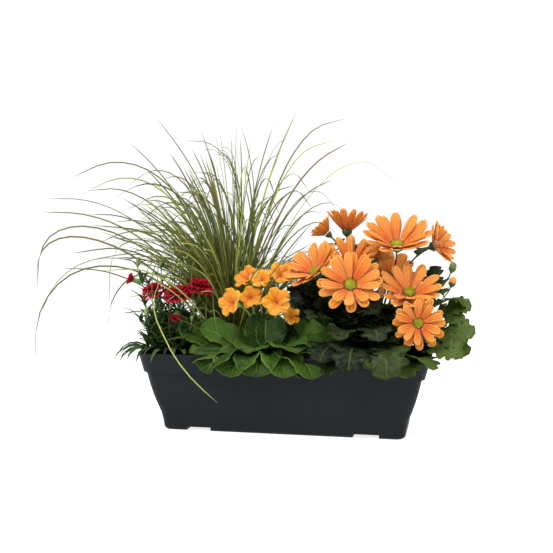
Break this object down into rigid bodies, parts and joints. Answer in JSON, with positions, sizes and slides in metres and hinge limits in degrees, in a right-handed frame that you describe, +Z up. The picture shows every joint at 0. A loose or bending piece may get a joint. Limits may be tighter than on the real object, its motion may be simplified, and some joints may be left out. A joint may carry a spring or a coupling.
{
  "type": "planted window box",
  "caption": "Long plastic window box of compost planted with an arching grass, red pinks, a yellow-orange primrose and an orange daisy chrysanthemum.",
  "frame": {"origin": "centre of the underside of the box, on the plane it stands on", "axes": "+Z up; +X along the box's length, to the right seen from the front; -Y out of the front, the side the flowers face"},
  "size_m": [0.6916, 0.4717, 0.465],
  "materials": {
    "box_plastic": "anthracite moulded plastic, satin",
    "compost": "loose dark compost, matt",
    "grass_blade": "olive and bronze blades, faint sheen",
    "pinks_leaf": "green, waxy",
    "pinks_petal": "velvety crimson",
    "primrose_leaf": "crinkled mid green",
    "primrose_petal": "golden orange, soft",
    "chrysanthemum_leaf": "dark green, satin",
    "chrysanthemum_ray": "apricot orange, silky",
    "chrysanthemum_eye": "yellow green florets"
  },
  "bodies": {
    "root": {"window_box": "box_plastic", "compost": "compost", "chrysanthemum_eye_1": "chrysanthemum_eye", "chrysanthemum_eye_2": "chrysanthemum_eye", "chrysanthemum_eye_3": "chrysanthemum_eye", "chrysanthemum_eye_4": "chrysanthemum_eye", "chrysanthemum_eye_5": "chrysanthemum_eye", "chrysanthemum_eye_6": "chrysanthemum_eye", "chrysanthemum_eye_7": "chrysanthemum_eye", "chrysanthemum_eye_8": "chrysanthemum_eye", "chrysanthemum_eye_9": "chrysanthemum_eye", "chrysanthemum_eye_10": "chrysanthemum_eye", "chrysanthemum_eye_11": "chrysanthemum_eye", "chrysanthemum_rays_1": "chrysanthemum_ray", "chrysanthemum_rays_2": "chrysanthemum_ray", "chrysanthemum_rays_3": "chrysanthemum_ray", "chrysanthemum_rays_4": "chrysanthemum_ray", "chrysanthemum_rays_5": "chrysanthemum_ray", "chrysanthemum_rays_6": "chrysanthemum_ray", "chrysanthemum_rays_7": "chrysanthemum_ray", "chrysanthemum_rays_8": "chrysanthemum_ray", "chrysanthemum_rays_9": "chrysanthemum_ray", "chrysanthemum_rays_10": "chrysanthemum_ray", "chrysanthemum_rays_11": "chrysanthemum_ray", "pinks_bloom_1": "pinks_petal", "pinks_bloom_2": "pinks_petal", "pinks_bloom_3": "pinks_petal", "pinks_bloom_4": "pinks_petal", "pinks_bloom_5": "pinks_petal", "primrose_flower_1": "primrose_petal", "primrose_flower_2": "primrose_petal", "primrose_flower_3": "primrose_petal", "primrose_flower_4": "primrose_petal", "primrose_flower_5": "primrose_petal", "primrose_flower_6": "primrose_petal", "primrose_flower_7": "primrose_petal", "primrose_green": "primrose_leaf", "pinks_green": "pinks_leaf", "chrysanthemum_green": "chrysanthemum_leaf", "grass": "grass_blade"}
  },
  "joints": []
}
